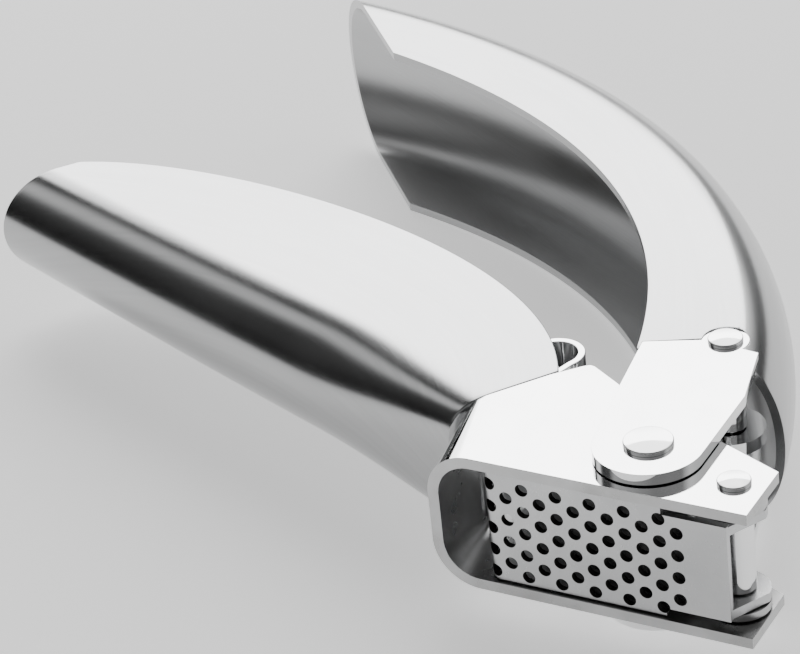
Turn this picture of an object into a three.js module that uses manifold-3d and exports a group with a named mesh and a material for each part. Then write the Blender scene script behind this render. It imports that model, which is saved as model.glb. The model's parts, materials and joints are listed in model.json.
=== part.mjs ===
// Garlic press: two sheet-steel handles, a box head with a hinged sieve, and a plunger driven by a link.
// Millimetres, +Z up. The press lies on its side, opened, so every pivot runs along Z.
// Plan coordinates are measured from the main pivot, +X along the sieve towards the front hinge and
// +Y away from the sieve. Heights are measured from the middle of the head. The finished group is
// shifted at the end, so that its origin is the bottom centre of its bounding box.
import * as THREE from 'three';
import { mergeVertices } from 'three/addons/utils/BufferGeometryUtils.js';
import Module from 'manifold-3d';

const wasm = await Module();
wasm.setup();

// ---- driving dimensions -------------------------------------------------------------------------
const GAP = 0.3; // running clearance between neighbouring pieces
const HEAD_HALF = 14; // half the outer height of the head frame
const FRAME_SHEET = 2.2; // thickness of the head frame's strip
const FRAME_INNER = HEAD_HALF - FRAME_SHEET;
const SHELL_SHEET = 1.8; // thickness of both handle shells
const SQUARE_SHARE = 0.3; // share of the lower handle's length that eases from the box head to round
const TONGUE_INNER = HEAD_HALF + GAP; // the upper handle's tongues lie outside the frame's plates
const TONGUE_SHEET = 2.2;
const TONGUE_OUTER = TONGUE_INNER + TONGUE_SHEET;
const SWING = THREE.MathUtils.degToRad(31); // main hinge, from open to closed

const MAIN_PIVOT = new THREE.Vector2(0, 0);
const FRONT_PIVOT = new THREE.Vector2(17.4, -3.1); // hinge of the plunger and of the sieve
const DRIVE_PIVOT = new THREE.Vector2(-1.05, 36.75); // cross pin of the upper handle, handles open
const LINK_PIVOT_CLOSED = new THREE.Vector2(-21, 1); // pin of the plunger, handles closed

const FRAME_LEFT = -38.9; // outer face of the frame's end wall
const FRAME_RIGHT = 23.3; // open front end of the frame
const FRAME_FRONT = -11.7; // the edges that stand round the sieve
const FRAME_REAR = 26; // the strip before its plates are cut to their outline
const FRAME_CORNER = { front: 9, rear: 2.6, rearY: 7 }; // outer bend radius, tightening to the rear

const RIVET_SHANK = 2;
const SHANK_HOLE = 2.3;
const LINK_PIN_HOLE = 2.2; // in the plunger's walls, which turn with the pin
const LINK_EYE_HOLE = 2.6; // in the link, which turns about the pin
const MAIN_SHANK = 3;
const MAIN_HOLE = 3.3;

const SIEVE = { left: -28.4, right: 19, front: -10.9, sheet: 1.3, half: 11.4, endHalf: 9.9, step: 6.7 };
const SIEVE_EAR = { inner: 7.8, outer: 9.6, left: 12.6 };
const HOLE = { radius: 1.25, columns: 12, pitchX: 3.3, pitchZ: 4.65, firstX: -26.8, middle: -0.4 };
const FRONT_SPACER_RADIUS = 3.1;

const FACE = { left: -26, right: 12, front: -9.4, sheet: 1.5 }; // plunger, handles closed
const PLUNGER_HALF = 11.4;
const PLUNGER_SHEET = 1.5;
const EYE_RADIUS = 5.6;

const LINK = { bottom: -4.6, top: -2, driveRadius: 6.8, plungerRadius: 4.4, waist: 3.4 };

const ROUND = 32; // segments of a full circle
const THROUGH = 20; // height above and below the middle that clears every piece
const HEAD_SEAT = 0.05; // a rivet head stands this far off its plate
const ORIGIN_SHIFT = [76.5, -72.65, 19.6]; // brings the bounding box's bottom centre to the origin

// ---- materials ----------------------------------------------------------------------------------
const steel = (color, roughness) => new THREE.MeshStandardMaterial({ color, roughness, metalness: 1 });
const satinSteel = () => steel(0xc9cacb, 0.36);
const polishedSteel = () => steel(0xe6e7e8, 0.08);
const sieveSteel = () => steel(0xb4b6b8, 0.3);

// ---- geometry helpers ---------------------------------------------------------------------------
function toSolid(geometry) {
  const bare = geometry.clone();
  bare.deleteAttribute('normal');
  bare.deleteAttribute('uv');
  const merged = mergeVertices(bare, 1e-4);
  return new wasm.Manifold(new wasm.Mesh({
    numProp: 3,
    vertProperties: new Float32Array(merged.attributes.position.array),
    triVerts: new Uint32Array(merged.index.array),
  }));
}

function toGeometry(solid) {
  const mesh = solid.getMesh();
  const geometry = new THREE.BufferGeometry();
  geometry.setAttribute('position', new THREE.BufferAttribute(mesh.vertProperties, 3));
  geometry.setIndex(new THREE.BufferAttribute(mesh.triVerts, 1));
  geometry.computeVertexNormals();
  return geometry;
}

// A plan outline extruded from one height to another.
function prism(shape, bottom, top, curveSegments = 12) {
  const depth = top - bottom;
  const geometry = new THREE.ExtrudeGeometry(shape, { depth, bevelEnabled: false, curveSegments });
  return toSolid(geometry.translate(0, 0, bottom));
}

function outline(points) {
  return new THREE.Shape(points.map(([x, y]) => new THREE.Vector2(x, y)));
}

// An upright round bar, its axis at a plan point.
function bar(at, radius, bottom, top, segments = ROUND) {
  const geometry = new THREE.CylinderGeometry(radius, radius, top - bottom, segments);
  geometry.rotateX(Math.PI / 2).translate(at.x, at.y, (bottom + top) / 2);
  return toSolid(geometry);
}

function tube(at, outer, inner, bottom, top) {
  return bar(at, outer, bottom, top).subtract(bar(at, inner, bottom - 1, top + 1));
}

// An upright turned piece from [radius, height] pairs that start and end on the axis.
function turned(at, profile) {
  const points = profile.map(([radius, height]) => new THREE.Vector2(radius, height));
  const geometry = new THREE.LatheGeometry(points, ROUND);
  return geometry.rotateX(Math.PI / 2).translate(at.x, at.y, 0);
}

// The domed head of a rivet as profile points, growing away from its seat in the given direction.
function headProfile(radius, rise, seat, direction) {
  return [
    [radius, seat],
    [radius, seat + direction * rise * 0.4],
    [radius * 0.86, seat + direction * rise * 0.8],
    [radius * 0.5, seat + direction * rise],
    [0, seat + direction * rise * 1.06],
  ];
}

function mirrored(solid) {
  const geometry = toGeometry(solid).scale(1, 1, -1);
  const index = geometry.index.array;
  for (let i = 0; i < index.length; i += 3) {
    [index[i], index[i + 1]] = [index[i + 1], index[i]];
  }
  geometry.computeVertexNormals();
  return toSolid(geometry);
}

const turn = (point, angle) => point.clone().rotateAround(new THREE.Vector2(), angle);

function part(name, shape, material) {
  const geometry = shape.isBufferGeometry ? shape : toGeometry(shape);
  const mesh = new THREE.Mesh(geometry, material);
  mesh.name = name;
  return mesh;
}

// A channel-shaped shell, lofted between the line of its rounded back and the line of its open edge.
// Every section is a half-ellipse back with two flat cheeks, in the plane through both lines. Near its
// start the back can be squared: 2 is an ellipse, and a higher number has a flatter back.
function channelShell({ back, edge, heights, bulge, square, stations, arcSteps }) {
  const sections = [];
  for (let i = 0; i <= stations; i++) {
    const u = i / stations;
    const base = back.getPoint(u);
    const across = edge.getPoint(u).sub(base);
    const reach = across.length();
    across.normalize();
    const along = back.getTangent(u);
    const slant = 1 / Math.abs(across.x * along.y - across.y * along.x);
    const half = THREE.MathUtils.lerp(heights[0], heights[1], u);
    const depth = THREE.MathUtils.lerp(bulge[0], bulge[1], u * (2 - u)) * slant;
    const wall = SHELL_SHEET * slant;
    const power = 2 / THREE.MathUtils.lerp(2, square, Math.max(0, 1 - u / SQUARE_SHARE) ** 2);
    const pairs = [];
    const place = (inward, height) => [base.x + across.x * inward, base.y + across.y * inward, height];
    pairs.push([place(reach, half), place(reach, half - SHELL_SHEET)]);
    for (let k = 0; k <= arcSteps; k++) {
      const angle = (Math.PI * k) / arcSteps;
      const outwards = Math.sin(angle) ** power;
      const up = Math.sign(Math.cos(angle)) * Math.abs(Math.cos(angle)) ** power;
      const outer = place(depth - depth * outwards, half * up);
      const inner = place(depth - (depth - wall) * outwards, (half - SHELL_SHEET) * up);
      pairs.push([outer, inner]);
    }
    pairs.push([place(reach, -half), place(reach, SHELL_SHEET - half)]);
    sections.push(pairs);
  }
  return loft(sections);
}

// A bent sheet through a row of sections. A section is a list of [outer, inner] pairs of points.
function loft(sections) {
  const stations = sections.length - 1;
  const ring = sections[0].length;
  const positions = sections.flat(3);
  const vertex = (i, j, side) => (i * ring + j) * 2 + side;
  const index = [];
  const last = ring - 1;
  const quad = (a, b, c, d) => index.push(a, b, c, a, c, d);
  for (let i = 0; i < stations; i++) {
    for (let j = 0; j < last; j++) {
      quad(vertex(i, j, 0), vertex(i, j + 1, 0), vertex(i + 1, j + 1, 0), vertex(i + 1, j, 0));
      quad(vertex(i, j, 1), vertex(i + 1, j, 1), vertex(i + 1, j + 1, 1), vertex(i, j + 1, 1));
    }
    quad(vertex(i, 0, 0), vertex(i + 1, 0, 0), vertex(i + 1, 0, 1), vertex(i, 0, 1));
    quad(vertex(i, last, 0), vertex(i, last, 1), vertex(i + 1, last, 1), vertex(i + 1, last, 0));
  }
  for (let j = 0; j < last; j++) {
    quad(vertex(0, j, 0), vertex(0, j, 1), vertex(0, j + 1, 1), vertex(0, j + 1, 0));
    const end = [vertex(stations, j, 0), vertex(stations, j + 1, 0)];
    quad(...end, vertex(stations, j + 1, 1), vertex(stations, j, 1));
  }
  const geometry = new THREE.BufferGeometry();
  geometry.setAttribute('position', new THREE.Float32BufferAttribute(positions, 3));
  geometry.setIndex(index);
  return facingOut(geometry);
}

// Turns a closed mesh the right way out, whichever way its sections were wound.
function facingOut(geometry) {
  const position = geometry.attributes.position;
  const index = geometry.index.array;
  const a = new THREE.Vector3();
  const b = new THREE.Vector3();
  const c = new THREE.Vector3();
  let volume = 0;
  for (let i = 0; i < index.length; i += 3) {
    a.fromBufferAttribute(position, index[i]);
    b.fromBufferAttribute(position, index[i + 1]);
    c.fromBufferAttribute(position, index[i + 2]);
    volume += a.dot(b.cross(c));
  }
  if (volume < 0) {
    for (let i = 0; i < index.length; i += 3) {
      [index[i], index[i + 1]] = [index[i + 1], index[i]];
    }
  }
  geometry.computeVertexNormals();
  return geometry;
}

const bezier = (points) => new THREE.CubicBezierCurve(...points.map(([x, y]) => new THREE.Vector2(x, y)));

// ---- lower handle -------------------------------------------------------------------------------
const LOWER_BACK = bezier([[-41.7, 1.8], [-87.4, 17.8], [-131.9, 35.7], [-176.3, 53.5]]);
const LOWER_EDGE = bezier([[-27.5, 20.6], [-47.8, 63.6], [-134.1, 79.5], [-164.4, 68.2]]);

function lowerHandleShell() {
  return channelShell({
    back: LOWER_BACK,
    edge: LOWER_EDGE,
    heights: [HEAD_HALF, 12.1],
    bulge: [13.5, 13.5],
    square: 4,
    stations: 20,
    arcSteps: 16,
  });
}

// Plan outline of the frame's plates. Its rear corner meets the cut end of the lower handle.
const FRAME_PLAN = [
  [FRAME_LEFT - 3, FRAME_FRONT - 1], [FRAME_RIGHT + 1, FRAME_FRONT - 1], [FRAME_RIGHT + 1, 2.16],
  [-13.5, 18.6], [-15.2, 20.1], [-21.9, 24.3], [-22.9, 24.5], [-24, 23.7], [-28.2, 18.9], [-41.6, 1.4],
];

// One [outer, inner] section of the frame's strip, at a distance along Y.
function frameSection(y) {
  const { front, rear, rearY } = FRAME_CORNER;
  const radius = THREE.MathUtils.mapLinear(Math.min(y, rearY), FRAME_FRONT, rearY, front, rear);
  const inner = radius - FRAME_SHEET;
  const turnX = FRAME_LEFT + radius;
  const turnZ = HEAD_HALF - radius;
  const steps = 8;
  const pairs = [];
  for (let k = 0; k <= steps; k++) {
    const angle = (Math.PI / 2) * (k / steps);
    const across = Math.sin(angle);
    const up = Math.cos(angle);
    pairs.push([
      [turnX - radius * across, y, turnZ + radius * up],
      [turnX - inner * across, y, turnZ + inner * up],
    ]);
  }
  const lower = pairs.map((pair) => pair.map(([x, , z]) => [x, y, -z])).reverse();
  const end = (side) => [[FRAME_RIGHT, y, side * HEAD_HALF], [FRAME_RIGHT, y, side * FRAME_INNER]];
  return [end(1), ...pairs, ...lower, end(-1)];
}

function headFrame() {
  const strip = loft([FRAME_FRONT, FRAME_CORNER.rearY, FRAME_REAR].map(frameSection));
  return toSolid(strip)
    .intersect(prism(outline(FRAME_PLAN), -THROUGH, THROUGH))
    .subtract(bar(MAIN_PIVOT, MAIN_HOLE, -THROUGH, THROUGH))
    .subtract(bar(FRONT_PIVOT, SHANK_HOLE, -THROUGH, THROUGH));
}

// The strip that closes the chamber's rear corner. Its free end is curled into a loop in the throat.
function throatGuard() {
  const half = FRAME_INNER - GAP;
  const centre = new THREE.Vector2(-32.8, 30.1);
  const radius = 5.5;
  const sheet = 1.4;
  const shape = new THREE.Shape();
  const start = -Math.PI / 6;
  const end = 0.8 * Math.PI;
  shape.moveTo(-36.4, 3.8);
  shape.lineTo(-35, 3.8);
  shape.absarc(centre.x, centre.y, radius, start, end);
  shape.absarc(centre.x, centre.y, radius - sheet, end, start, true);
  const footHalf = 9.4;
  const foot = 10.8;
  const above = new THREE.BoxGeometry(40, 40, 2 * half).translate(-34, foot + 20, 0);
  return prism(shape, -half, half).intersect(toSolid(above)).add(prism(shape, -footHalf, footHalf));
}

function frontRivet() {
  const seat = HEAD_HALF + HEAD_SEAT;
  return turned(FRONT_PIVOT, [
    ...headProfile(3.05, 1, -seat, -1).reverse(),
    [RIVET_SHANK, -seat],
    [RIVET_SHANK, seat],
    ...headProfile(3.05, 1, seat, 1),
  ]);
}

// ---- upper handle -------------------------------------------------------------------------------
const UPPER_BACK = bezier([[12.6, 30.5], [11.3, 43.4], [-19.8, 146.3], [-148, 157]]);
const UPPER_EDGE = bezier([[-15.4, 29], [-28, 80.7], [-67.9, 109.3], [-115.6, 121.9]]);
const TONGUE_END = 10.1;
const DRIVE_EYE = 4.4;

// Plan outline of a tongue, from the seam with the shell to the round end about the main pivot.
function tonguePlan(grow) {
  const shape = new THREE.Shape();
  shape.moveTo(-15.4 - grow, 31.5 + grow);
  shape.lineTo(-4.7, 36 + grow);
  shape.lineTo(6.3 + grow, 34.6 + grow);
  shape.lineTo(9.8 + grow, 20);
  shape.absarc(0, 0, TONGUE_END + grow, 0, Math.PI, true);
  shape.lineTo(-12.9 - grow, 15.7);
  return shape;
}

function upperHandleShell() {
  const shell = channelShell({
    back: UPPER_BACK,
    edge: UPPER_EDGE,
    heights: [TONGUE_OUTER, 19.6],
    bulge: [8.8, 15.2],
    square: 2,
    stations: 26,
    arcSteps: 16,
  });
  const notch = prism(tonguePlan(GAP), FRAME_INNER, THROUGH)
    .add(bar(DRIVE_PIVOT, DRIVE_EYE + GAP, FRAME_INNER, THROUGH));
  return toSolid(shell).subtract(notch).subtract(mirrored(notch));
}

function headPlate() {
  const blank = prism(tonguePlan(0), TONGUE_INNER, TONGUE_OUTER);
  const eye = bar(DRIVE_PIVOT, DRIVE_EYE, TONGUE_INNER, TONGUE_OUTER);
  const pivotHole = bar(MAIN_PIVOT, MAIN_HOLE, 0, THROUGH);
  const driveHole = bar(DRIVE_PIVOT, SHANK_HOLE, 0, THROUGH);
  return blank.add(eye).subtract(pivotHole).subtract(driveHole);
}

function mainRivet() {
  const foot = FRAME_INNER + 0.1;
  const seat = TONGUE_OUTER + HEAD_SEAT;
  return toSolid(turned(MAIN_PIVOT, [
    [0, foot],
    [MAIN_SHANK, foot],
    [MAIN_SHANK, seat],
    ...headProfile(4.55, 1.05, seat, 1),
  ]));
}

function drivePin() {
  const seat = TONGUE_OUTER + HEAD_SEAT;
  return turned(DRIVE_PIVOT, [
    ...headProfile(3.3, 0.95, -seat, -1).reverse(),
    [RIVET_SHANK, -seat],
    [RIVET_SHANK, seat],
    ...headProfile(3.3, 0.95, seat, 1),
  ]);
}

// ---- plunger and link ---------------------------------------------------------------------------
// The link keeps its length, so the open place of the plunger's pin follows from two triangles.
const drivePivotClosed = turn(DRIVE_PIVOT, SWING);
const linkLength = drivePivotClosed.distanceTo(LINK_PIVOT_CLOSED);
const armLength = FRONT_PIVOT.distanceTo(LINK_PIVOT_CLOSED);

function plungerOpenAngle() {
  const toDrive = DRIVE_PIVOT.clone().sub(FRONT_PIVOT);
  const span = toDrive.length();
  const cosine = (armLength ** 2 + span ** 2 - linkLength ** 2) / (2 * armLength * span);
  const open = toDrive.angle() + Math.acos(cosine);
  const closed = LINK_PIVOT_CLOSED.clone().sub(FRONT_PIVOT).angle();
  return open - closed;
}

const plungerLift = plungerOpenAngle();
const linkPivot = LINK_PIVOT_CLOSED.clone().rotateAround(FRONT_PIVOT, plungerLift);

// A folded channel: the pressing face and two side walls with eyes for the front hinge.
function plungerChannel() {
  const { x, y } = FRONT_PIVOT;
  const q = LINK_PIVOT_CLOSED;
  const wallPlan = new THREE.Shape();
  wallPlan.moveTo(FACE.left, FACE.front);
  wallPlan.lineTo(FACE.right, FACE.front);
  wallPlan.lineTo(x, y - EYE_RADIUS);
  wallPlan.absarc(x, y, EYE_RADIUS, -Math.PI / 2, Math.PI / 2);
  wallPlan.lineTo(q.x + 3, q.y + 4.4);
  wallPlan.absarc(q.x, q.y, 5, Math.PI / 3, Math.PI);
  wallPlan.lineTo(FACE.left, -4);
  const walls = prism(wallPlan, PLUNGER_HALF - PLUNGER_SHEET, PLUNGER_HALF);
  const faceWidth = FACE.right - FACE.left;
  const face = new THREE.BoxGeometry(faceWidth, FACE.sheet, 2 * PLUNGER_HALF);
  face.translate(FACE.left + faceWidth / 2, FACE.front + FACE.sheet / 2, 0);
  const pinHole = bar(q, LINK_PIN_HOLE, -THROUGH, THROUGH);
  const hingeHole = bar(FRONT_PIVOT, SHANK_HOLE, -THROUGH, THROUGH);
  return walls.add(mirrored(walls)).add(toSolid(face)).subtract(pinHole).subtract(hingeHole);
}

// Turns a piece drawn with the handles closed to its place with the handles open.
function lifted(solid) {
  const geometry = solid.isBufferGeometry ? solid : toGeometry(solid);
  geometry.translate(-FRONT_PIVOT.x, -FRONT_PIVOT.y, 0);
  geometry.rotateZ(plungerLift);
  return geometry.translate(FRONT_PIVOT.x, FRONT_PIVOT.y, 0);
}

function linkPin() {
  return bar(linkPivot, RIVET_SHANK, GAP - PLUNGER_HALF, PLUNGER_HALF - GAP);
}

function driveLink() {
  const along = linkPivot.clone().sub(DRIVE_PIVOT).normalize();
  const side = new THREE.Vector2(-along.y, along.x).multiplyScalar(LINK.waist);
  const corners = [
    DRIVE_PIVOT.clone().add(side), linkPivot.clone().add(side),
    linkPivot.clone().sub(side), DRIVE_PIVOT.clone().sub(side),
  ];
  const { bottom, top } = LINK;
  return prism(new THREE.Shape(corners), bottom, top)
    .add(bar(DRIVE_PIVOT, LINK.driveRadius, bottom, top, 40))
    .add(bar(linkPivot, LINK.plungerRadius, bottom, top))
    .subtract(bar(DRIVE_PIVOT, SHANK_HOLE, -THROUGH, THROUGH))
    .subtract(bar(linkPivot, LINK_EYE_HOLE, -THROUGH, THROUGH));
}

const spacer = (at, radius, bottom, top) => tube(at, radius, SHANK_HOLE, bottom, top);

// ---- sieve --------------------------------------------------------------------------------------
// It stands just behind the frame's front edges, with its holes running along Y.
function sievePlate() {
  const { left, right, front, sheet, half, endHalf, step } = SIEVE;
  const bend = 2.4;
  const endLip = 5;
  const plan = new THREE.Shape();
  plan.moveTo(left + bend, front);
  plan.lineTo(right, front);
  plan.lineTo(right, front + sheet);
  plan.lineTo(left + bend, front + sheet);
  plan.absarc(left + bend, front + bend, bend - sheet, 1.5 * Math.PI, Math.PI, true);
  plan.lineTo(left + sheet, front + endLip);
  plan.lineTo(left, front + endLip);
  plan.absarc(left + bend, front + bend, bend, Math.PI, 1.5 * Math.PI);
  let plate = prism(plan, -half, half, 5);
  for (const side of [1, -1]) {
    const cut = new THREE.BoxGeometry(right - step + 1, 4, 4);
    cut.translate((right + step + 1) / 2, front, side * (endHalf + 2));
    plate = plate.subtract(toSolid(cut));
  }
  const drills = [];
  for (let column = 0; column < HOLE.columns; column++) {
    const count = column % 2 === 0 ? 5 : 4;
    for (let row = 0; row < count; row++) {
      const drill = new THREE.CylinderGeometry(HOLE.radius, HOLE.radius, 4, 12);
      const height = HOLE.middle + (row - (count - 1) / 2) * HOLE.pitchZ;
      drills.push(toSolid(drill.translate(HOLE.firstX + column * HOLE.pitchX, front + sheet, height)));
    }
  }
  return plate.subtract(wasm.Manifold.union(drills)).add(sieveEar()).add(mirrored(sieveEar()));
}

// One of the two ears that carry the sieve on the front hinge.
function sieveEar() {
  const { inner, outer, left } = SIEVE_EAR;
  const { x, y } = FRONT_PIVOT;
  const root = SIEVE.front + SIEVE.sheet / 2;
  const shape = new THREE.Shape();
  shape.moveTo(left, root);
  shape.lineTo(SIEVE.right, root);
  shape.lineTo(x + EYE_RADIUS, y);
  shape.absarc(x, y, EYE_RADIUS, 0, Math.PI);
  return prism(shape, inner, outer).subtract(bar(FRONT_PIVOT, SHANK_HOLE, 0, THROUGH));
}

// ---- assembly -----------------------------------------------------------------------------------
const plate = headPlate();
const rivet = mainRivet();
const spacerTop = LINK.top + GAP;
const spacerBottom = LINK.bottom - GAP;
const wallInner = PLUNGER_HALF - PLUNGER_SHEET - GAP;
const earInner = SIEVE_EAR.inner - GAP;

const press = new THREE.Group();
press.position.set(...ORIGIN_SHIFT);
press.add(
  part('lower_handle_shell', lowerHandleShell(), satinSteel()),
  part('head_frame', headFrame(), polishedSteel()),
  part('throat_guard', throatGuard(), polishedSteel()),
  part('front_rivet', frontRivet(), polishedSteel()),
  part('upper_handle_shell', upperHandleShell(), satinSteel()),
  part('head_plate_top', plate, polishedSteel()),
  part('head_plate_bottom', mirrored(plate), polishedSteel()),
  part('main_rivet_top', rivet, polishedSteel()),
  part('main_rivet_bottom', mirrored(rivet), polishedSteel()),
  part('drive_pin', drivePin(), polishedSteel()),
  part('drive_spacer_upper', spacer(DRIVE_PIVOT, 3.25, spacerTop, TONGUE_INNER - GAP), polishedSteel()),
  part('drive_spacer_lower', spacer(DRIVE_PIVOT, 3.25, GAP - TONGUE_INNER, spacerBottom), polishedSteel()),
  part('drive_link', driveLink(), polishedSteel()),
  part('plunger_channel', lifted(plungerChannel()), polishedSteel()),
  part('link_pin', linkPin(), polishedSteel()),
  part('link_spacer_upper', spacer(linkPivot, 3, spacerTop, wallInner), polishedSteel()),
  part('link_spacer_lower', spacer(linkPivot, 3, -wallInner, spacerBottom), polishedSteel()),
  part('sieve_plate', sievePlate(), sieveSteel()),
  part('front_spacer', spacer(FRONT_PIVOT, FRONT_SPACER_RADIUS, -earInner, earInner), polishedSteel()),
);

export default press;
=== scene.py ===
import json
import math

import bmesh
import bpy
from mathutils import Matrix, Vector


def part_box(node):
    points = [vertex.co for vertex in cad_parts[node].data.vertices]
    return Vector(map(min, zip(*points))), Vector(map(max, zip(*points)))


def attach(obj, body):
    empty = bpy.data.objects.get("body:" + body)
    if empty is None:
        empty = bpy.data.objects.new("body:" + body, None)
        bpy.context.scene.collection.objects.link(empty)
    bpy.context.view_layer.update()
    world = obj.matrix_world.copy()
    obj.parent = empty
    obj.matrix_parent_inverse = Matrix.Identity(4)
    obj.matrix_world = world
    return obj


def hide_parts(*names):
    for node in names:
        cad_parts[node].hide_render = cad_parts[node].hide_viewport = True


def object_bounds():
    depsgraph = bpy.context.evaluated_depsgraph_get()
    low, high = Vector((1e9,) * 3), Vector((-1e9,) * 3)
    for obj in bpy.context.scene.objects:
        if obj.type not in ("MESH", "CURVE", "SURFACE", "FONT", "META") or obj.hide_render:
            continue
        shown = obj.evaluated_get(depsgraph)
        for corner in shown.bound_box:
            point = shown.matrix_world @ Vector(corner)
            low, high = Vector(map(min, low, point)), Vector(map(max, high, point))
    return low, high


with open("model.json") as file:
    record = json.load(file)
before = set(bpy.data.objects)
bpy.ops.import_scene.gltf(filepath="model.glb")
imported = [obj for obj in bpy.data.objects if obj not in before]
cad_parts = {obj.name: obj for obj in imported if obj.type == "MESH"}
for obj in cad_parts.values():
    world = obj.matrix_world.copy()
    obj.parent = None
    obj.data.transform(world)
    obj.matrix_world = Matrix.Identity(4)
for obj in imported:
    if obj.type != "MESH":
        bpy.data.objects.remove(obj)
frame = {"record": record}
cad_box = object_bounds()

MM = 0.001
HINGES = {joint["name"]: Vector(joint["pos_m"]) for joint in frame["record"]["behaviour"]["joints"]}
CENTRE = HINGES["main_hinge"]


def plan_place(point):
    """A place in metres as plan millimetres from the main pivot."""
    offset = (Vector(point) - CENTRE) / MM
    return offset.x, offset.y


def middle_of(node):
    low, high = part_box(node)
    return [(a + b) / 2 for a, b in zip(low, high)]


MAIN_PIVOT = (0.0, 0.0)
FRONT_PIVOT = plan_place(HINGES["plunger_hinge"])
DRIVE_PIVOT = plan_place(HINGES["link_hinge"])
LINK_PIVOT = plan_place(middle_of("link_pin"))

# ---- dimensions in millimetres, as in the CAD source ------------------------
GAP = 0.3  # running clearance
SEAM = 0.05  # the visible seam between a handle shell and its tongue plates
HEAD_SEAT = 0.05  # a rivet head stands this far off its plate
HEAD_HALF = 14.0
FRAME_SHEET = 2.2
FRAME_INNER = HEAD_HALF - FRAME_SHEET
FRAME_LEFT, FRAME_RIGHT, FRAME_FRONT = -38.9, 23.3, -11.7
FRAME_CORNER = {"front": 9.0, "rear": 2.6, "rear_y": 7.0}  # the strip's bend radius
FRAME_REAR = 30.0  # the strip before its plates are cut to their outline
SHELL_SHEET = 1.8
SQUARE_SHARE = 0.3
TONGUE_INNER = HEAD_HALF + GAP
TONGUE_OUTER = TONGUE_INNER + 2.2
TONGUE_END = 10.1
DRIVE_EYE = 4.4
SHANK = 2.0
MAIN_SHANK = 3.0
SHANK_HOLE = 2.3
LINK_PIN_HOLE = 2.2
LINK_EYE_HOLE = 2.6
MAIN_HOLE = 3.3
THROUGH = 24.0
FACE = {"left": -26.0, "right": 12.0, "front": -9.4}  # the plunger's, with the handles closed
LINK_PIVOT_CLOSED = (-21.0, 1.0)
PLUNGER_HALF = 11.4
PLUNGER_SHEET = 1.5
EYE_RADIUS = 5.6
SIEVE = {
    "left": -28.4, "right": 19.0, "front": -10.9, "sheet": 1.3,
    "half": 11.4, "end_half": 9.9, "step": 6.7, "bend": 2.4, "lip": 5.0,
}
EAR = {"inner": 7.8, "outer": 9.6, "left": 12.6}
HOLE = {"radius": 1.25, "columns": 12, "pitch_x": 3.3, "pitch_z": 4.65, "first_x": -26.8, "middle": -0.4}
LINK = {"bottom": -4.6, "top": -2.0, "drive_radius": 6.8, "plunger_radius": 4.4, "waist": 3.4}


# ---- node materials ---------------------------------------------------------
class Nodes:
    """A short way of writing a node tree."""

    def __init__(self, tree):
        self.tree = tree
        tree.nodes.clear()

    def add(self, kind, inputs=None, **settings):
        node = self.tree.nodes.new(kind)
        for name, value in settings.items():
            setattr(node, name, value)
        for name, value in (inputs or {}).items():
            socket = node.inputs[name]
            if isinstance(value, bpy.types.NodeSocket):
                self.tree.links.new(value, socket)
            else:
                socket.default_value = value
        return node

    def stretched(self, source, scale):
        return self.add("ShaderNodeMapping", {"Vector": source, "Scale": scale}).outputs["Vector"]

    def noise(self, vector, scale, detail=3.0, roughness=0.5):
        inputs = {"Vector": vector, "Scale": scale, "Detail": detail, "Roughness": roughness}
        return self.add("ShaderNodeTexNoise", inputs).outputs["Fac"]

    def spread(self, value, low, high, start=0.3, end=0.7):
        inputs = {"Value": value, "From Min": start, "From Max": end, "To Min": low, "To Max": high}
        return self.add("ShaderNodeMapRange", inputs).outputs["Result"]

    def grey(self, value, dark, light):
        ramp = self.add("ShaderNodeValToRGB", {"Fac": value})
        for stop, position, shade in zip(ramp.color_ramp.elements, (0.3, 0.7), (dark, light)):
            stop.position = position
            stop.color = (*shade, 1)
        return ramp.outputs["Color"]

    def ramp(self, value, stops, low, high):
        """Grey levels at the given places between low and high."""
        ramp = self.add("ShaderNodeValToRGB", {"Fac": value})
        elements = ramp.color_ramp.elements
        while len(elements) < len(stops):
            elements.new(1.0)
        for element, (spot, shade) in zip(elements, stops):
            element.position = (spot - low) / (high - low)
            element.color = (shade, shade, shade, 1)
        return ramp.outputs["Color"]

    def bump(self, height, distance, strength=1.0, normal=None):
        inputs = {"Height": height, "Distance": distance, "Strength": strength}
        if normal is not None:
            inputs["Normal"] = normal
        return self.add("ShaderNodeBump", inputs).outputs["Normal"]

    def finish_steel(self, color, roughness, normal):
        inputs = {"Base Color": color, "Roughness": roughness, "Normal": normal, "Metallic": 1.0}
        shader = self.add("ShaderNodeBsdfPrincipled", inputs)
        self.add("ShaderNodeOutputMaterial", {"Surface": shader.outputs["BSDF"]})


def new_material(name):
    material = bpy.data.materials.new(name)
    material.use_nodes = True
    return material, Nodes(material.node_tree)


def satin_steel():
    """Brushed along the handle, with fine streaks and a faint cloudiness from handling."""
    material, nodes = new_material("satin_brushed_steel")
    along = nodes.add("ShaderNodeUVMap", uv_map="grain").outputs["UV"]
    space = nodes.add("ShaderNodeTexCoord").outputs["Object"]
    fine = nodes.noise(nodes.stretched(along, (60, 8500, 1)), 1.0, 2.0, 0.6)
    broad = nodes.noise(nodes.stretched(along, (12, 900, 1)), 1.0, 3.0)
    cloud = nodes.noise(space, 38.0, 4.0)
    color = nodes.grey(broad, (0.41, 0.413, 0.416), (0.44, 0.443, 0.446))
    streaks = nodes.spread(fine, -0.025, 0.025)
    haze = nodes.spread(cloud, 0.18, 0.22)
    rough = nodes.add("ShaderNodeMath", {0: streaks, 1: haze}, operation="ADD").outputs["Value"]
    normal = nodes.bump(fine, 0.00001, 0.28)
    nodes.finish_steel(color, rough, normal)
    return material


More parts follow.
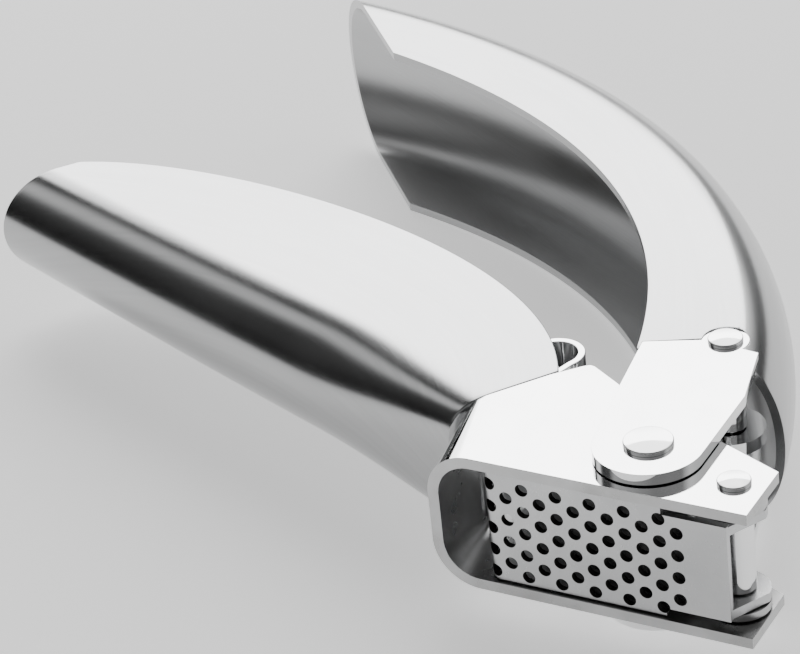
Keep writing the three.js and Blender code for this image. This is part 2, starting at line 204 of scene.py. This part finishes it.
def inside_steel():
    """The handles' hollow side, brushed more coarsely and left duller."""
    material, nodes = new_material("satin_inside_steel")
    along = nodes.add("ShaderNodeUVMap", uv_map="grain").outputs["UV"]
    space = nodes.add("ShaderNodeTexCoord").outputs["Object"]
    fine = nodes.noise(nodes.stretched(along, (80, 5000, 1)), 1.0, 2.0, 0.6)
    cloud = nodes.noise(space, 45.0, 4.0)
    color = nodes.grey(fine, (0.44, 0.443, 0.446), (0.49, 0.493, 0.496))
    rough = nodes.spread(cloud, 0.27, 0.34)
    normal = nodes.bump(fine, 0.00001, 0.3)
    nodes.finish_steel(color, rough, normal)
    return material


def polished_steel():
    """Mirror-polished, with a faint waviness of the sheet and wiping marks."""
    material, nodes = new_material("mirror_polished_steel")
    space = nodes.add("ShaderNodeTexCoord").outputs["Object"]
    wave = nodes.noise(space, 60.0, 1.0)
    smudge = nodes.noise(space, 130.0, 4.0)
    scratch = nodes.noise(nodes.stretched(space, (900, 2600, 900)), 1.0, 2.0)
    color = nodes.grey(smudge, (0.84, 0.845, 0.85), (0.90, 0.903, 0.906))
    rough = nodes.spread(smudge, 0.035, 0.09)
    wavy = nodes.bump(wave, 0.0002, 0.2)
    normal = nodes.bump(scratch, 0.000004, 0.3, wavy)
    nodes.finish_steel(color, rough, normal)
    return material


def sieve_steel():
    """Fine satin, as left by tumbling after the holes are punched."""
    material, nodes = new_material("tumbled_sieve_steel")
    space = nodes.add("ShaderNodeTexCoord").outputs["Object"]
    grain = nodes.noise(space, 2600.0, 3.0, 0.6)
    cloud = nodes.noise(space, 90.0, 3.0)
    color = nodes.grey(cloud, (0.52, 0.525, 0.53), (0.60, 0.603, 0.606))
    rough = nodes.spread(grain, 0.26, 0.42)
    normal = nodes.bump(grain, 0.00002, 0.6)
    nodes.finish_steel(color, rough, normal)
    return material


def chamber_steel():
    """The unpolished inside of the head: soft satin with water stains."""
    material, nodes = new_material("chamber_satin_steel")
    space = nodes.add("ShaderNodeTexCoord").outputs["Object"]
    grain = nodes.noise(nodes.stretched(space, (1, 1, 0.12)), 3200.0, 3.0, 0.6)
    stain = nodes.noise(space, 110.0, 3.0)
    color = nodes.grey(stain, (0.40, 0.40, 0.398), (0.55, 0.553, 0.556))
    rough = nodes.spread(stain, 0.22, 0.38)
    normal = nodes.bump(grain, 0.00001, 0.2)
    nodes.finish_steel(color, rough, normal)
    return material


def hole_shade_steel():
    """Torn, dull metal on the walls of the punched holes, coloured near-black as painted shade inside the
    holes.
    """
    material, nodes = new_material("hole_wall_painted_shade")
    space = nodes.add("ShaderNodeTexCoord").outputs["Object"]
    grain = nodes.noise(nodes.stretched(space, (1, 0.2, 1)), 4200.0, 3.0, 0.6)
    # painted shade: the hole walls are coloured near-black to stand for the shade inside the holes
    color = nodes.grey(grain, (0.05, 0.048, 0.045), (0.10, 0.097, 0.092))
    rough = nodes.spread(grain, 0.5, 0.75)
    normal = nodes.bump(grain, 0.00003, 0.7)
    nodes.finish_steel(color, rough, normal)
    return material


SATIN = satin_steel()
INSIDE = inside_steel()
POLISHED = polished_steel()
SIEVE_STEEL = sieve_steel()
CHAMBER = chamber_steel()
HOLE_SHADE = hole_shade_steel()
SLOTS = {"polished_steel": POLISHED, "sieve_steel": SIEVE_STEEL}


# ---- geometry helpers -------------------------------------------------------
def place(x, y, z):
    return CENTRE + Vector((x, y, z)) * MM


def arc(centre, radius, start, end, steps):
    """Points of an arc, angles in degrees."""
    angles = [math.radians(start + (end - start) * i / steps) for i in range(steps + 1)]
    return [(centre[0] + radius * math.cos(a), centre[1] + radius * math.sin(a)) for a in angles]


def object_from(bm, name):
    bmesh.ops.recalc_face_normals(bm, faces=bm.faces)
    mesh = bpy.data.meshes.new(name)
    bm.to_mesh(mesh)
    bm.free()
    piece = bpy.data.objects.new(name, mesh)
    bpy.context.scene.collection.objects.link(piece)
    return piece


def prism(points, bottom, top, name="solid"):
    """A plan outline raised from one height to another."""
    bm = bmesh.new()
    face = bm.faces.new([bm.verts.new(place(x, y, bottom)) for x, y in points])
    raised = bmesh.ops.extrude_face_region(bm, geom=[face])["geom"]
    verts = [item for item in raised if isinstance(item, bmesh.types.BMVert)]
    bmesh.ops.translate(bm, verts=verts, vec=Vector((0, 0, top - bottom)) * MM)
    return object_from(bm, name)


def bar(centre, radius, bottom, top, steps=48):
    return prism(arc(centre, radius, 0, 360, steps)[:-1], bottom, top)


def turned(centre, profile, name="solid", steps=64):
    """A round piece from (radius, height) pairs that start and end on the axis."""
    bm = bmesh.new()
    x, y = centre
    rings = []
    for radius, height in profile[1:-1]:
        rings.append([bm.verts.new(place(*p, height)) for p in arc(centre, radius, 0, 360, steps)[:-1]])
    for lower, upper in zip(rings, rings[1:]):
        for i in range(steps):
            j = (i + 1) % steps
            bm.faces.new((lower[i], lower[j], upper[j], upper[i]))
    for ring, (_, height) in ((rings[0], profile[0]), (rings[-1], profile[-1])):
        tip = bm.verts.new(place(x, y, height))
        for i in range(steps):
            bm.faces.new((ring[i], ring[(i + 1) % steps], tip))
    return object_from(bm, name)


def settle(piece):
    """Bakes a piece's modifiers into its mesh."""
    evaluated = piece.evaluated_get(bpy.context.evaluated_depsgraph_get())
    mesh = bpy.data.meshes.new_from_object(evaluated)
    piece.modifiers.clear()
    piece.data = mesh
    return piece


def combine(piece, others, operation):
    for other in others:
        modifier = piece.modifiers.new("combine", "BOOLEAN")
        modifier.operation = operation
        modifier.solver = "EXACT"
        modifier.object = other
        settle(piece)
        bpy.data.objects.remove(other)
    return piece


def cut(piece, *tools):
    return combine(piece, tools, "DIFFERENCE")


def join(piece, *others):
    return combine(piece, others, "UNION")


def keep_inside(piece, other):
    return combine(piece, [other], "INTERSECT")


def mirrored(piece, name="solid"):
    """A copy of a piece, mirrored in the middle plane of the head."""
    bm = bmesh.new()
    bm.from_mesh(piece.data)
    flip = Matrix.Translation(CENTRE) @ Matrix.Diagonal((1, 1, -1, 1)) @ Matrix.Translation(-CENTRE)
    bm.transform(flip)
    return object_from(bm, name)


def show(piece, name, body, slot, edge=0.25, smooth=32, segments=3):
    """Puts a solid in place of its CAD node, with rounded edges and its finish.

    The handle shells already have the two finishes of their outer and inner sides.
    """
    piece.name = name + "_visual"
    if slot in SLOTS:
        piece.data.materials.clear()
        piece.data.materials.append(SLOTS[slot])
        for polygon in piece.data.polygons:
            polygon.material_index = 0
    for polygon in piece.data.polygons:
        polygon.use_smooth = True
    if edge:
        bevel = piece.modifiers.new("edges", "BEVEL")
        bevel.width = edge * MM
        bevel.segments = segments
        bevel.limit_method = "ANGLE"
        bevel.angle_limit = math.radians(smooth)
        bevel.use_clamp_overlap = True
        bevel.harden_normals = False
        settle(piece)
    piece.data.set_sharp_from_angle(angle=math.radians(smooth))
    for polygon in piece.data.polygons:
        polygon.use_smooth = True
    weighted = piece.modifiers.new("normals", "WEIGHTED_NORMAL")
    weighted.keep_sharp = True
    settle(piece)
    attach(piece, body)
    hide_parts(name)
    return piece


# ---- handles ----------------------------------------------------------------
def bezier(points):
    """A plan curve and its direction, as functions of 0..1."""
    a, b, c, d = [Vector(p) for p in points]

    def at(u):
        v = 1 - u
        return a * v ** 3 + b * 3 * v * v * u + c * 3 * v * u * u + d * u ** 3

    def heading(u):
        v = 1 - u
        return ((b - a) * v * v + (c - b) * 2 * v * u + (d - c) * u * u).normalized()

    return at, heading


def channel_shell(back, edge, heights, bulge, square, stations=96, arc_steps=48):
    """A handle shell: half-ellipse back and two flat cheeks, lofted along its back line.

    Near its start the back can be squared: 2 is an ellipse, a higher number a flatter back.
    """
    back_at, back_heading = back
    edge_at, _ = edge
    bm = bmesh.new()
    grain = bm.loops.layers.uv.new("grain")
    rows = []
    travelled = 0.0
    previous = back_at(0)
    for i in range(stations + 1):
        u = i / stations
        base = back_at(u)
        travelled += (base - previous).length
        previous = base
        across = edge_at(u) - base
        reach = across.length
        across.normalize()
        along = back_heading(u)
        slant = 1 / abs(across.x * along.y - across.y * along.x)
        half = heights[0] + (heights[1] - heights[0]) * u
        depth = (bulge[0] + (bulge[1] - bulge[0]) * u * (2 - u)) * slant
        wall = SHELL_SHEET * slant
        power = 2 / (2 + (square - 2) * max(0.0, 1 - u / SQUARE_SHARE) ** 2)

        def vert(inward, height):
            x, y = base + across * inward
            return bm.verts.new(place(x, y, height))

        marks = []
        for k in range(arc_steps + 1):
            angle = math.pi * k / arc_steps
            up = math.copysign(abs(math.cos(angle)) ** power, math.cos(angle))
            marks.append((abs(math.sin(angle)) ** power, up))
        outer = [vert(reach, half)]
        outer += [vert(depth - depth * outwards, half * up) for outwards, up in marks]
        outer.append(vert(reach, -half))
        inner_half = half - SHELL_SHEET
        inner = [vert(reach, inner_half)]
        inner += [vert(depth - (depth - wall) * outwards, inner_half * up) for outwards, up in marks]
        inner.append(vert(reach, -inner_half))
        girth = [0.0]
        for first, second in zip(outer, outer[1:]):
            girth.append(girth[-1] + (second.co - first.co).length)
        rows.append((outer, inner, girth, travelled * MM))
    last = arc_steps + 2

    def quad(corners, marks, finish=0):
        face = bm.faces.new(corners)
        face.material_index = finish
        for loop, mark in zip(face.loops, marks):
            loop[grain].uv = mark

    for (outer, inner, girth, start), (outer2, inner2, girth2, end) in zip(rows, rows[1:]):
        for j in range(last):
            marks = [(start, girth[j]), (start, girth[j + 1]), (end, girth2[j + 1]), (end, girth2[j])]
            quad((outer[j], outer[j + 1], outer2[j + 1], outer2[j]), marks)
            quad((inner[j], inner[j + 1], inner2[j + 1], inner2[j]), marks, 1)
        for j in (0, last):
            marks = [(start, 0), (end, 0), (end, SHELL_SHEET * MM), (start, SHELL_SHEET * MM)]
            quad((outer[j], outer2[j], inner2[j], inner[j]), marks)
    for outer, inner, girth, start in (rows[0], rows[-1]):
        for j in range(last):
            marks = [(start, girth[j]), (start, girth[j + 1]), (start, girth[j + 1]), (start, girth[j])]
            quad((outer[j], outer[j + 1], inner[j + 1], inner[j]), marks)
    shell = object_from(bm, "shell")
    shell.data.materials.append(SATIN)
    shell.data.materials.append(INSIDE)
    return shell


def lower_handle_shell():
    shell = channel_shell(
        back=bezier([(-41.7, 1.8), (-87.4, 17.8), (-131.9, 35.7), (-176.3, 53.5)]),
        edge=bezier([(-27.5, 20.6), (-47.8, 63.6), (-134.1, 79.5), (-164.4, 68.2)]),
        heights=(HEAD_HALF, 12.1),
        bulge=(13.5, 13.5),
        square=4,
    )
    show(shell, "lower_handle_shell", "lower_handle", "satin_steel", edge=0.35)


def tongue_outline(grow=0.0):
    points = [(-15.4 - grow, 31.5 + grow), (-4.7, 36 + grow), (6.3 + grow, 34.6 + grow), (9.8 + grow, 20)]
    points += arc(MAIN_PIVOT, TONGUE_END + grow, 0, -180, 40)
    points.append((-12.9 - grow, 15.7))
    return points


def upper_handle_shell():
    shell = channel_shell(
        back=bezier([(12.6, 30.5), (11.3, 43.4), (-19.8, 146.3), (-148, 157)]),
        edge=bezier([(-15.4, 29), (-28, 80.7), (-67.9, 109.3), (-115.6, 121.9)]),
        heights=(TONGUE_OUTER, 19.6),
        bulge=(8.8, 15.2),
        square=2,
    )
    for bottom, top in ((FRAME_INNER, THROUGH), (-THROUGH, -FRAME_INNER)):
        cut(
            shell,
            prism(tongue_outline(SEAM), bottom, top),
            bar(DRIVE_PIVOT, DRIVE_EYE + SEAM, bottom, top),
        )
    show(shell, "upper_handle_shell", "upper_handle", "satin_steel", edge=0.12)


# ---- head -------------------------------------------------------------------
def frame_section(y, steps=40):
    """The frame's strip as (outer, inner) pairs. Its corner bend tightens towards the rear."""
    share = min(1.0, (y - FRAME_FRONT) / (FRAME_CORNER["rear_y"] - FRAME_FRONT))
    radius = FRAME_CORNER["front"] + (FRAME_CORNER["rear"] - FRAME_CORNER["front"]) * share
    upper = []
    for k in range(steps + 1):
        angle = math.pi / 2 * k / steps
        pair = []
        for bend in (radius, radius - FRAME_SHEET):
            x = FRAME_LEFT + radius - bend * math.sin(angle)
            pair.append((x, HEAD_HALF - radius + bend * math.cos(angle)))
        upper.append(pair)
    upper.insert(0, [(FRAME_RIGHT, HEAD_HALF), (FRAME_RIGHT, FRAME_INNER)])
    lower = [[(x, -z) for x, z in pair] for pair in reversed(upper)]
    return upper + lower


def in_the_chamber(polygon):
    """True for a face on the inner side of the frame's strip."""
    spot = (polygon.center - CENTRE) / MM
    skin = 0.4  # deeper than the rounding of the edges
    deep = abs(spot.z) < HEAD_HALF - skin and spot.x > FRAME_LEFT + skin and spot.y > FRAME_FRONT + skin
    inward = Vector((1, 0, -spot.z / HEAD_HALF))
    return deep and polygon.normal.dot(inward) > 0.2


def head_frame():
    bm = bmesh.new()
    rows = []
    for y in (FRAME_FRONT, -7.0, -2.3, 2.4, FRAME_CORNER["rear_y"], FRAME_REAR):
        rows.append([[bm.verts.new(place(x, y, z)) for x, z in pair] for pair in frame_section(y)])
    for near, far in zip(rows, rows[1:]):
        for j in range(len(near) - 1):
            for side in (0, 1):
                bm.faces.new((near[j][side], near[j + 1][side], far[j + 1][side], far[j][side]))
        for j in (0, -1):
            bm.faces.new((near[j][0], near[j][1], far[j][1], far[j][0]))
    for row in (rows[0], rows[-1]):
        for first, second in zip(row, row[1:]):
            bm.faces.new((first[0], first[1], second[1], second[0]))
    strip = object_from(bm, "strip")
    plan = [
        (FRAME_LEFT - 3, FRAME_FRONT - 1), (FRAME_RIGHT + 1, FRAME_FRONT - 1), (FRAME_RIGHT + 1, 2.16),
        (-13.5, 18.6), (-15.2, 20.1), (-21.9, 24.3), (-22.9, 24.5), (-24, 23.7),
        (-28.45, 19.05), (-41.8, 1.55),
    ]
    keep_inside(strip, prism(plan, -THROUGH, THROUGH))
    cut(
        strip,
        bar(MAIN_PIVOT, MAIN_HOLE, -THROUGH, THROUGH),
        bar(FRONT_PIVOT, SHANK_HOLE, -THROUGH, THROUGH),
    )
    show(strip, "head_frame", "lower_handle", "polished_steel", edge=0.3)
    strip.data.materials.append(CHAMBER)
    for polygon in strip.data.polygons:
        if polygon.normal.y < -0.7 or in_the_chamber(polygon):
            polygon.material_index = 1


def throat_guard():
    centre = (-32.8, 30.1)
    radius = 5.5
    sheet = 1.4
    half = FRAME_INNER - GAP
    loop = [(-36.4, 3.8), (-35, 3.8)]
    loop += arc(centre, radius, -30, 144, 32)
    loop += arc(centre, radius - sheet, 144, -30, 32)
    guard = prism(loop, -half, half)
    foot_top = 10.8
    foot_half = 9.4
    low = [(-50, 0), (-20, 0), (-20, foot_top), (-50, foot_top)]
    cut(guard, prism(low, foot_half, THROUGH), prism(low, -THROUGH, -foot_half))
    show(guard, "throat_guard", "lower_handle", "polished_steel", edge=0.2)


def head_profile(radius, rise, seat):
    """A flat-topped rivet head as (radius, height) pairs, from its seat to its crown."""
    wall = rise * 0.5
    edge = rise * 0.25
    profile = [(radius, seat), (radius, seat + wall)]
    for angle in (0.4, 0.8, 1.2, math.pi / 2):
        profile.append((radius - edge * (1 - math.cos(angle)), seat + wall + edge * math.sin(angle)))
    crown = radius - edge
    for k in range(1, 8):
        share = k / 8
        profile.append((crown * (1 - share), seat + rise * (0.75 + 0.31 * math.sin(share * math.pi / 2))))
    profile.append((0, seat + rise * 1.06))
    return profile


def through_rivet(name, body, centre, radius, rise, seat):
    top = head_profile(radius, rise, seat)
    bottom = [(r, -z) for r, z in reversed(top)]
    profile = bottom + [(SHANK, -seat), (SHANK, seat)] + top
    show(turned(centre, profile), name, body, "polished_steel", edge=0)


def main_rivets():
    foot = FRAME_INNER + 0.1
    seat = TONGUE_OUTER + HEAD_SEAT
    profile = [(0, foot), (MAIN_SHANK, foot), (MAIN_SHANK, seat)] + head_profile(4.55, 1.05, seat)
    top = turned(MAIN_PIVOT, profile)
    bottom = mirrored(top)
    show(top, "main_rivet_top", "upper_handle", "polished_steel", edge=0)
    show(bottom, "main_rivet_bottom", "upper_handle", "polished_steel", edge=0)


def head_plates():
    plate = prism(tongue_outline(), TONGUE_INNER, TONGUE_OUTER)
    join(plate, bar(DRIVE_PIVOT, DRIVE_EYE, TONGUE_INNER, TONGUE_OUTER))
    cut(plate, bar(MAIN_PIVOT, MAIN_HOLE, 0, THROUGH), bar(DRIVE_PIVOT, SHANK_HOLE, 0, THROUGH))
    bottom = mirrored(plate)
    show(plate, "head_plate_top", "upper_handle", "polished_steel", edge=0.15)
    show(bottom, "head_plate_bottom", "upper_handle", "polished_steel", edge=0.15)


# ---- plunger, link and spacers ----------------------------------------------
def turned_about(point, centre, angle):
    offset = Vector(point) - Vector(centre)
    offset.rotate(Matrix.Rotation(angle, 2))
    return tuple(Vector(centre) + offset)


def plunger_channel():
    left, right, front = FACE["left"], FACE["right"], FACE["front"]
    closed = Vector(LINK_PIVOT_CLOSED)
    lift = (Vector(LINK_PIVOT) - Vector(FRONT_PIVOT)).angle_signed(closed - Vector(FRONT_PIVOT))
    wall = [(left, front), (right, front)]
    wall += arc(FRONT_PIVOT, EYE_RADIUS, -90, 90, 32)
    wall.append((closed.x + 3, closed.y + 4.4))
    wall += arc(closed, 5, 60, 180, 24)
    wall.append((left, -4))
    inner = PLUNGER_HALF - PLUNGER_SHEET
    lifted = [turned_about(p, FRONT_PIVOT, lift) for p in wall]
    back = front + PLUNGER_SHEET
    face = [(left, front), (right, front), (right, back), (left, back)]
    channel = prism([turned_about(p, FRONT_PIVOT, lift) for p in face], -PLUNGER_HALF, PLUNGER_HALF)
    join(channel, prism(lifted, inner, PLUNGER_HALF), prism(lifted, -PLUNGER_HALF, -inner))
    cut(
        channel,
        bar(LINK_PIVOT, LINK_PIN_HOLE, -THROUGH, THROUGH),
        bar(FRONT_PIVOT, SHANK_HOLE, -THROUGH, THROUGH),
    )
    show(channel, "plunger_channel", "plunger", "polished_steel", edge=0.25)
    channel.data.materials[0] = CHAMBER


def drive_link():
    drive, pin = Vector(DRIVE_PIVOT), Vector(LINK_PIVOT)
    along = (pin - drive).normalized()
    side = Vector((-along.y, along.x)) * LINK["waist"]
    corners = [drive + side, pin + side, pin - side, drive - side]
    bottom, top = LINK["bottom"], LINK["top"]
    link = prism([tuple(c) for c in corners], bottom, top)
    join(
        link,
        bar(DRIVE_PIVOT, LINK["drive_radius"], bottom, top, 64),
        bar(LINK_PIVOT, LINK["plunger_radius"], bottom, top),
    )
    cut(
        link,
        bar(DRIVE_PIVOT, SHANK_HOLE, -THROUGH, THROUGH),
        bar(LINK_PIVOT, LINK_EYE_HOLE, -THROUGH, THROUGH),
    )
    show(link, "drive_link", "link", "polished_steel", edge=0.3)


def link_pin():
    pin = bar(LINK_PIVOT, SHANK, GAP - PLUNGER_HALF, PLUNGER_HALF - GAP)
    show(pin, "link_pin", "plunger", "polished_steel", edge=0.3)


def spacer(name, body, centre, radius, bottom, top):
    tube = cut(bar(centre, radius, bottom, top), bar(centre, SHANK_HOLE, bottom - 1, top + 1))
    show(tube, name, body, "polished_steel", edge=0.25)


def spacers():
    link_top = LINK["top"] + GAP
    link_bottom = LINK["bottom"] - GAP
    wall = PLUNGER_HALF - PLUNGER_SHEET - GAP
    tongue = TONGUE_INNER - GAP
    ear = EAR["inner"] - GAP
    spacer("drive_spacer_upper", "upper_handle", DRIVE_PIVOT, 3.25, link_top, tongue)
    spacer("drive_spacer_lower", "upper_handle", DRIVE_PIVOT, 3.25, -tongue, link_bottom)
    spacer("link_spacer_upper", "plunger", LINK_PIVOT, 3.0, link_top, wall)
    spacer("link_spacer_lower", "plunger", LINK_PIVOT, 3.0, -wall, link_bottom)
    spacer("front_spacer", "lower_handle", FRONT_PIVOT, 3.1, -ear, ear)


# ---- sieve ------------------------------------------------------------------
def hole_spots():
    """Where the sieve's holes stand, as (x, height)."""
    spots = []
    for column in range(HOLE["columns"]):
        count = 5 if column % 2 == 0 else 4
        for row in range(count):
            z = HOLE["middle"] + (row - (count - 1) / 2) * HOLE["pitch_z"]
            spots.append((HOLE["first_x"] + column * HOLE["pitch_x"], z))
    return spots


def sieve_drills():
    """All the sieve's holes as one piece of many round bars, each running along Y."""
    bm = bmesh.new()
    quarter = Matrix.Rotation(math.pi / 2, 4, "X")
    radius = HOLE["radius"] * MM
    for x, z in hole_spots():
        spot = Matrix.Translation(place(x, SIEVE["front"] + SIEVE["sheet"], z)) @ quarter
        bmesh.ops.create_cone(
            bm, cap_ends=True, segments=28, radius1=radius, radius2=radius, depth=4 * MM, matrix=spot
        )
    return object_from(bm, "drills")


def in_a_hole(polygon):
    """True for a face on the wall of one of the sieve's holes."""
    across = (polygon.center - CENTRE) / MM
    reach = HOLE["radius"] + 0.02
    near_hole = any(math.hypot(across.x - x, across.z - z) < reach for x, z in hole_spots())
    return near_hole and abs(polygon.normal.y) < 0.3


def sieve_plate():
    left, right, front, sheet = SIEVE["left"], SIEVE["right"], SIEVE["front"], SIEVE["sheet"]
    bend, lip = SIEVE["bend"], SIEVE["lip"]
    turn = (left + bend, front + bend)
    outline = [(right, front), (right, front + sheet)]
    outline += arc(turn, bend - sheet, 270, 180, 12)
    outline += [(left + sheet, front + lip), (left, front + lip)]
    outline += arc(turn, bend, 180, 270, 12)
    plate = prism(outline, -SIEVE["half"], SIEVE["half"])
    start, end = SIEVE["step"], right + 1
    step = [(start, front - 2), (end, front - 2), (end, front + 2), (start, front + 2)]
    cut(plate, prism(step, SIEVE["end_half"], THROUGH), prism(step, -THROUGH, -SIEVE["end_half"]))
    root = front + sheet / 2
    ear = [(EAR["left"], root), (right, root)] + arc(FRONT_PIVOT, EYE_RADIUS, 0, 180, 32)
    upper = cut(prism(ear, EAR["inner"], EAR["outer"]), bar(FRONT_PIVOT, SHANK_HOLE, 0, THROUGH))
    lower = mirrored(upper)
    join(plate, upper, lower)
    cut(plate, sieve_drills())
    show(plate, "sieve_plate", "sieve", "sieve_steel", edge=0.12, segments=2)
    # the hole walls get the near-black material of painted shade
    plate.data.materials.append(HOLE_SHADE)
    for polygon in plate.data.polygons:
        if in_a_hole(polygon):
            polygon.material_index = 1


# ---- studio -----------------------------------------------------------------
CAMERA_AZIMUTH = math.radians(121.22)
CAMERA_ELEVATION = math.radians(30.0)
CAMERA_ROLL = math.radians(6.4)
CAMERA_PLACE = Vector((0.2903, -0.50435, 0.3422))
CAMERA_LENS = 146.3


def camera():
    data = bpy.data.cameras.new("camera")
    data.lens = CAMERA_LENS
    data.sensor_width = 36
    data.clip_start = 0.01
    item = bpy.data.objects.new("camera", data)
    bpy.context.scene.collection.objects.link(item)
    a, e = CAMERA_AZIMUTH, CAMERA_ELEVATION
    ahead = Vector((math.cos(a) * math.cos(e), math.sin(a) * math.cos(e), -math.sin(e)))
    level = Vector((math.sin(a), -math.cos(a), 0))
    down = ahead.cross(level)
    right = level * math.cos(CAMERA_ROLL) + down * math.sin(CAMERA_ROLL)
    up = level * math.sin(CAMERA_ROLL) - down * math.cos(CAMERA_ROLL)
    turn = Matrix((right, up, -ahead)).transposed().to_4x4()
    item.matrix_world = Matrix.Translation(CAMERA_PLACE) @ turn
    bpy.context.scene.camera = item


FLOOR_GLOW = 0.75  # it is lit a little from below, like a light table
FLOOR_HALF = 3.0
FLOOR_DROP = 0.0002  # keeps the floor clear of the lowest faces


def floor():
    bm = bmesh.new()
    bmesh.ops.create_grid(bm, x_segments=1, y_segments=1, size=FLOOR_HALF)
    item = object_from(bm, "floor")
    item.location.z = cad_box[0][2] - FLOOR_DROP
    material, nodes = new_material("pale_floor")
    space = nodes.add("ShaderNodeTexCoord").outputs["Object"]
    shade = nodes.grey(nodes.noise(space, 3.0), (0.86, 0.86, 0.86), (0.88, 0.88, 0.88))
    inputs = {
        "Base Color": shade, "Roughness": 0.9,
        "Emission Color": shade, "Emission Strength": FLOOR_GLOW,
    }
    shader = nodes.add("ShaderNodeBsdfPrincipled", inputs)
    nodes.add("ShaderNodeOutputMaterial", {"Surface": shader.outputs["BSDF"]})
    item.data.materials.append(material)


# Brightness of the tent round the press, by degrees of turn from straight ahead of the camera,
# positive to the left, and by elevation. The dark stretches are black cards between its lights.
TENT_ROUND = [
    (-180, 0.06), (-120, 0.06), (-100, 0.2), (-45, 0.16), (-30, 0.5), (-16, 1.0),
    (10, 1.0), (15, 0.2), (18, 0.004), (35, 0.004), (44, 0.28), (54, 0.3),
    (60, 0.06), (66, 0.016), (84, 0.02), (98, 0.12), (180, 0.06),
]
TENT_UP = [(0, 0.15), (12, 0.2), (24, 1.0), (50, 1.0), (66, 0.15), (90, 0.05)]
TENT_STRENGTH = 3.6


def tent():
    world = bpy.data.worlds.new("tent")
    bpy.context.scene.world = world
    world.use_nodes = True
    nodes = Nodes(world.node_tree)
    ahead = (math.cos(CAMERA_AZIMUTH), math.sin(CAMERA_AZIMUTH), 0)
    left = (-ahead[1], ahead[0], 0)
    toward = nodes.add("ShaderNodeTexCoord").outputs["Generated"]

    def vector_math(first, second, operation, output):
        return nodes.add("ShaderNodeVectorMath", {0: first, 1: second}, operation=operation).outputs[output]

    away = vector_math(toward, ahead, "DOT_PRODUCT", "Value")
    aside = vector_math(toward, left, "DOT_PRODUCT", "Value")
    height = nodes.add("ShaderNodeSeparateXYZ", {"Vector": toward}).outputs["Z"]
    round_angle = nodes.add("ShaderNodeMath", {0: aside, 1: away}, operation="ARCTAN2").outputs["Value"]
    up_angle = nodes.add("ShaderNodeMath", {0: height}, operation="ARCSINE").outputs["Value"]
    round_shade = nodes.ramp(nodes.spread(round_angle, 0, 1, -math.pi, math.pi), TENT_ROUND, -180, 180)
    up_shade = nodes.ramp(nodes.spread(up_angle, 0, 1, 0, math.pi / 2), TENT_UP, 0, 90)
    shade = vector_math(round_shade, up_shade, "MULTIPLY", "Vector")
    light = nodes.add("ShaderNodeBackground", {"Color": shade, "Strength": TENT_STRENGTH})
    nodes.add("ShaderNodeOutputWorld", {"Surface": light.outputs["Background"]})


def softbox(name, spot, target, size, power):
    data = bpy.data.lights.new(name, "AREA")
    data.shape = "RECTANGLE"
    data.size, data.size_y = size
    data.energy = power
    item = bpy.data.objects.new(name, data)
    item.location = spot
    item.rotation_euler = (Vector(target) - Vector(spot)).to_track_quat("-Z", "Y").to_euler()
    bpy.context.scene.collection.objects.link(item)


camera()
floor()
tent()
softbox("overhead", (-0.45, 0.75, 0.45), (0, 0, 0), (0.9, 0.5), 6)
lower_handle_shell()
upper_handle_shell()
head_frame()
throat_guard()
head_plates()
main_rivets()
through_rivet("front_rivet", "lower_handle", FRONT_PIVOT, 3.05, 1.0, HEAD_HALF + HEAD_SEAT)
through_rivet("drive_pin", "upper_handle", DRIVE_PIVOT, 3.3, 0.95, TONGUE_OUTER + HEAD_SEAT)
plunger_channel()
drive_link()
link_pin()
spacers()
sieve_plate()
